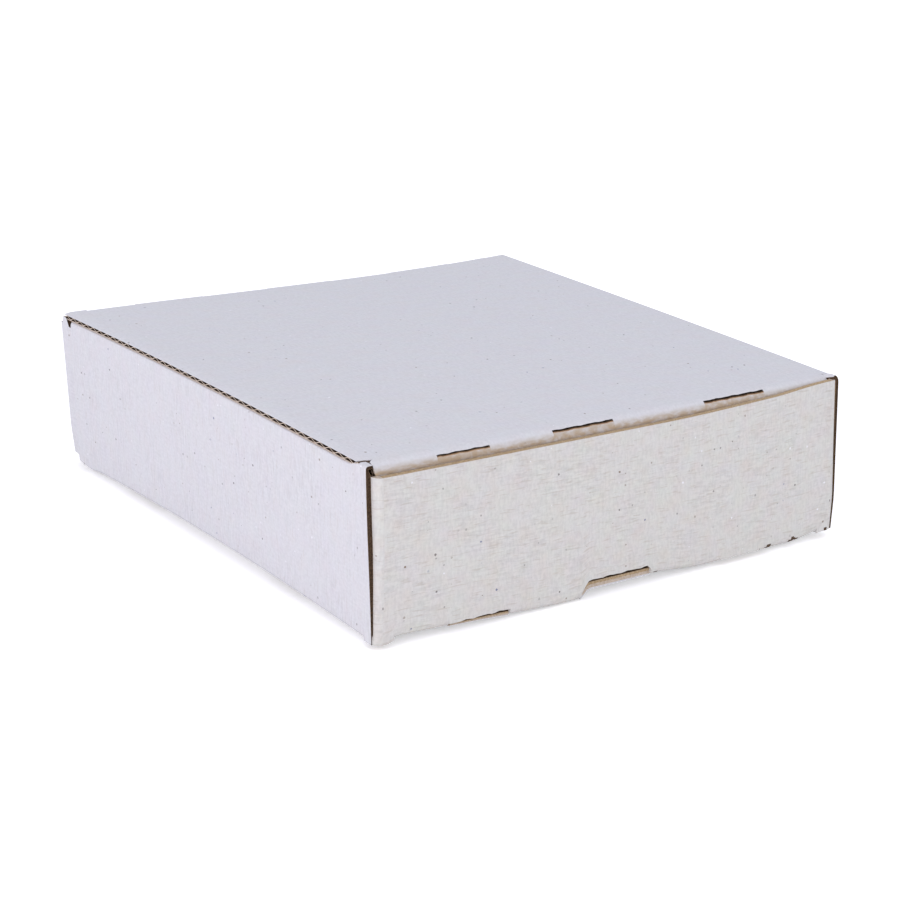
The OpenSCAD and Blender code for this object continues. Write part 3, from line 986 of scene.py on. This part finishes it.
def liner(name, paper, tint, streak, mottle, specks, lines=0.0, fold=None):
    """Paper with streaks along and across the flutes, blotches of tint, fine grain and specks. lines adds
    thin pale brown strokes, and fold is where along the sheet, in millimetres, a fold starts whose brown tint
    is partly wear from rubbing and partly painted shade and brown bounce light."""
    n = Material(name)
    uv = n.node("TexCoord").outputs["UV"]
    along = n.node("SeparateXYZ", {0: uv}).outputs[1]
    ribs = n.math("SINE", n.math("MULTIPLY", along, 2 * math.pi / (flute_pitch * MM)))

    def stretched(across_scale, along_scale, detail=2.0):
        place = n.node("Mapping", {"Vector": uv, "Scale": (across_scale, along_scale, 1.0)}).outputs[0]
        return n.noise(place, 1.0, detail, 0.55)

    def from_fold(start, end, a=0.0, b=1.0):
        return n.ramp(along, (fold + start) * MM, (fold + end) * MM, a, b)

    blotch = n.node("TexNoise", {"Vector": uv, "Scale": 130.0, "Detail": 2.0})
    grain = n.noise(uv, 800.0, 2.0, 0.6)
    patchy = n.ramp(n.noise(uv, 45.0, 1.0), 0.35, 0.65, 0.15, 1.2)
    fibres = n.ramp(stretched(150.0, 950.0), 0.4, 0.58, -0.06 * streak, 0.015 * streak)
    dashes = n.ramp(stretched(900.0, 260.0), 0.4, 0.58, -0.05 * mottle, 0.012 * mottle)
    bright = n.math("ADD", n.math("MULTIPLY", fibres, patchy), dashes)
    bright = n.math("ADD", bright, n.ramp(grain, 0.25, 0.75, -0.035, 0.035))
    bright = n.math("ADD", n.math("ADD", bright, n.math("MULTIPLY", ribs, 0.004)), 1.0)
    colour = n.mix(n.ramp(blotch.outputs[0], 0.45, 0.75, 0.0, 0.3 * mottle), paper, tint)
    colour = n.mix(0.03 * mottle, colour, blotch.outputs["Color"], "LINEAR_LIGHT")
    grey = n.node("CombineColor", {0: bright, 1: bright, 2: bright}).outputs[0]
    colour = n.mix(1.0, colour, grey, "MULTIPLY")
    if lines:
        strokes = n.ramp(stretched(130.0, 1200.0, 1.0), 0.6, 0.7, 0.0, lines)
        colour = n.mix(strokes, colour, rgb(178, 166, 150))
    if fold:
        # The fold's brown tint: partly wear from rubbing, partly painted shade and brown light bounced from
        # the cut edges where the fold turns down
        rub_and_shade = n.ramp(stretched(260.0, 700.0, 4.0), 0.32, 0.62, 0.4, 1.0)
        rub_and_shade = n.math("MULTIPLY", rub_and_shade, from_fold(7, 11, 1.0, 0.0))
        rub_and_shade = n.math("MULTIPLY", rub_and_shade, from_fold(2.8, 5.2))
        brown = n.mix(from_fold(4.2, 6.4), rgb(194, 186, 176), rgb(184, 165, 141))
        colour = n.mix(rub_and_shade, colour, brown)
    height = n.math("ADD", n.math("MULTIPLY", ribs, 0.12), n.math("MULTIPLY", grain, 0.4))
    return n.finish(speckled(n, uv, colour, specks), height)


def cut_paper(name, pale, dark):
    """Fibres of a cut or torn edge."""
    n = Material(name)
    fibres = n.noise(n.node("TexCoord").outputs["Object"], 1400.0, 3.0, 0.65)
    return n.finish(n.mix(n.ramp(fibres, 0.3, 0.7), pale, dark), fibres, 0.95, 0.6)


white = liner("liner_white", rgb(214, 214, 216), rgb(210, 205, 206), 0.75, 0.45, 0.09, 0.14)
lid_white = liner("liner_lid", rgb(214, 214, 216), rgb(210, 206, 204), 0.25, 0.5, 0.05, fold=FOLD_START)
front = liner("liner_front", rgb(214, 212, 207), rgb(206, 200, 190), 0.9, 0.9, 0.12, 0.3)
kraft = liner("liner_kraft", rgb(172, 138, 104), rgb(150, 117, 86), 1.5, 1.6, 0.3)
edge = cut_paper("cut_edge", rgb(206, 194, 180), rgb(182, 164, 144))
# The crushed medium: its brown darkened with painted shade, as in the flute holes and the gaps of cuts
shaded_core = cut_paper("crushed_medium_shaded", rgb(96, 76, 58), rgb(62, 48, 36))
# Cut edges of the side walls and back dust flaps: the board's brown edge darkened with painted shade, as in
# the shadowed gaps at the corners
shaded_cut_edge = cut_paper("cut_edge_shaded", rgb(112, 92, 68), rgb(78, 60, 44))
brown_edge = cut_paper("cut_edge_brown", rgb(194, 172, 140), rgb(162, 138, 106))

# The tray
tray = Board()
end_wall(tray, False)
end_wall(tray, True)
base(tray)
for side in (-1, 1):
    side_wall(tray, side)
    for end in (-1, 1):
        dust_flap(tray, side, end)
tray_board = tray.build("tray_board", [white, kraft, edge, shaded_core, shaded_cut_edge, front, brown_edge])

# The lid: two liners, and the wavy medium between them with 12 rows to a flute and few columns
flute_step, medium_step = flute_pitch / 12, 40.0
lid = Board()
lid_layer(lid, lambda s: (0 * s, 0 * s + paper_t), STEP, STEP, (WHITE, SHADED_CORE), WHITE)
lid_layer(lid, lambda s: (0 * s + board_t, 0 * s + board_t - under_t), STEP, STEP, (KRAFT, SHADED_CORE), EDGE)
lid_layer(lid, medium_faces, flute_step, medium_step, (SHADED_CORE, SHADED_CORE), EDGE)
lid_board = lid.build("lid_board", [lid_white, kraft, edge, shaded_core])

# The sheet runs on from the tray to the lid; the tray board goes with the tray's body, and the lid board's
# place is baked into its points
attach(tray_board, "tray")
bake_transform(lid_board)
for obj, node in ((tray_board, "tray"), (lid_board, "lid")):
    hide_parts(node)

# Floor, light and camera
FLOOR_HALF, FLOOR_Z, FLOOR_GLOW = 4.0, -0.0014, 0.38
# The world's colour and strength as light on the box; seen, it is plain white
SKY_COLOUR, SKY_STRENGTH = (0.884, 0.902, 1.0, 1.0), 0.918
LAMP_SIZE, LAMP_AIM = 0.9, (0, 0, 0.03)


def make_floor():
    """A pale floor a hair below the box's foot, which glows for the camera alone and keeps the shadow."""
    mesh = bpy.data.meshes.new("floor")
    corners = [(x * FLOOR_HALF, y * FLOOR_HALF, 0) for x, y in ((-1, -1), (1, -1), (1, 1), (-1, 1))]
    mesh.from_pydata(corners, [], [(0, 1, 2, 3)])
    n = Material("floor_paper")
    at = n.node("TexCoord").outputs["Object"]
    colour = n.mix(n.noise(at, 3.0), PURE_WHITE, (0.97, 0.97, 0.97, 1.0))
    mesh.materials.append(n.finish(colour, n.noise(at, 400.0), 0.9, 0.02))
    n.shader.inputs["Emission Color"].default_value = PURE_WHITE
    n.put(n.math("MULTIPLY", n.seen(), FLOOR_GLOW), n.shader.inputs["Emission Strength"])
    floor = bpy.data.objects.new("floor", mesh)
    floor.location.z = FLOOR_Z
    bpy.context.scene.collection.objects.link(floor)
    return floor


def light_world():
    """Soft light from all round, and a white background."""
    world = bpy.context.scene.world or bpy.data.worlds.new("studio")
    bpy.context.scene.world = world
    world.use_nodes = True
    n = Nodes(world.node_tree)
    sky = next(s for s in n.tree.nodes if s.type == "BACKGROUND")
    seen = n.seen()
    n.put(n.mix(seen, SKY_COLOUR, PURE_WHITE), sky.inputs["Color"])
    n.put(n.ramp(seen, 0.0, 1.0, SKY_STRENGTH, 1.0), sky.inputs["Strength"])


def lamp(name, place, power, colour):
    """A round soft lamp that shines on the box."""
    data = bpy.data.lights.new(name, "AREA")
    data.shape = "DISK"
    data.size = LAMP_SIZE
    data.energy = power
    data.color = colour
    obj = bpy.data.objects.new(name, data)
    bpy.context.scene.collection.objects.link(obj)
    obj.location = place
    obj.rotation_mode = "QUATERNION"
    obj.rotation_quaternion = (Vector(LAMP_AIM) - Vector(place)).to_track_quat("-Z", "Y")


floor = make_floor()
light_world()
lamp("key", (-1.3, -0.35, 0.55), 5.05, (1.0, 0.881, 0.939))
lamp("fill", (0.3, -1.5, 0.6), 2.5, (1.0, 0.91, 0.8))

# Camera found from the photo's edges: heading, tilt and roll in degrees, focal length in pixels of a
# picture this many pixels wide, and the box's origin in millimetres to the right of the camera's axis,
# below it and ahead
AZIMUTH, ELEVATION, ROLL = (math.radians(a) for a in (36.797, 18.489, 2.431))
FOCAL, PICTURE_W, SENSOR_W = 2039.3, 900, 36.0
ORIGIN = np.array([-2.919, 19.721, 894.647])


def make_camera():
    """The camera at the photo's angle."""
    level = math.cos(ELEVATION)
    ahead = np.array([math.sin(AZIMUTH) * level, math.cos(AZIMUTH) * level, -math.sin(ELEVATION)])
    right = np.cross(ahead, [0, 0, 1.0])
    right /= np.linalg.norm(right)
    down = np.cross(ahead, right)
    c, s = math.cos(ROLL), math.sin(ROLL)
    axes = np.array([c * right - s * down, s * right + c * down, ahead])
    data = bpy.data.cameras.new("camera")
    data.sensor_width = SENSOR_W
    data.lens = FOCAL / PICTURE_W * SENSOR_W
    data.clip_start, data.clip_end = 0.05, 50.0
    camera = bpy.data.objects.new("camera", data)
    bpy.context.scene.collection.objects.link(camera)
    place = np.eye(4)
    place[:3] = np.stack([axes[0], -axes[1], -axes[2], -axes.T @ ORIGIN * MM], 1)
    camera.matrix_world = Matrix(place.tolist())
    return camera


bpy.context.scene.camera = make_camera()
bpy.context.scene.view_settings.view_transform = "Standard"
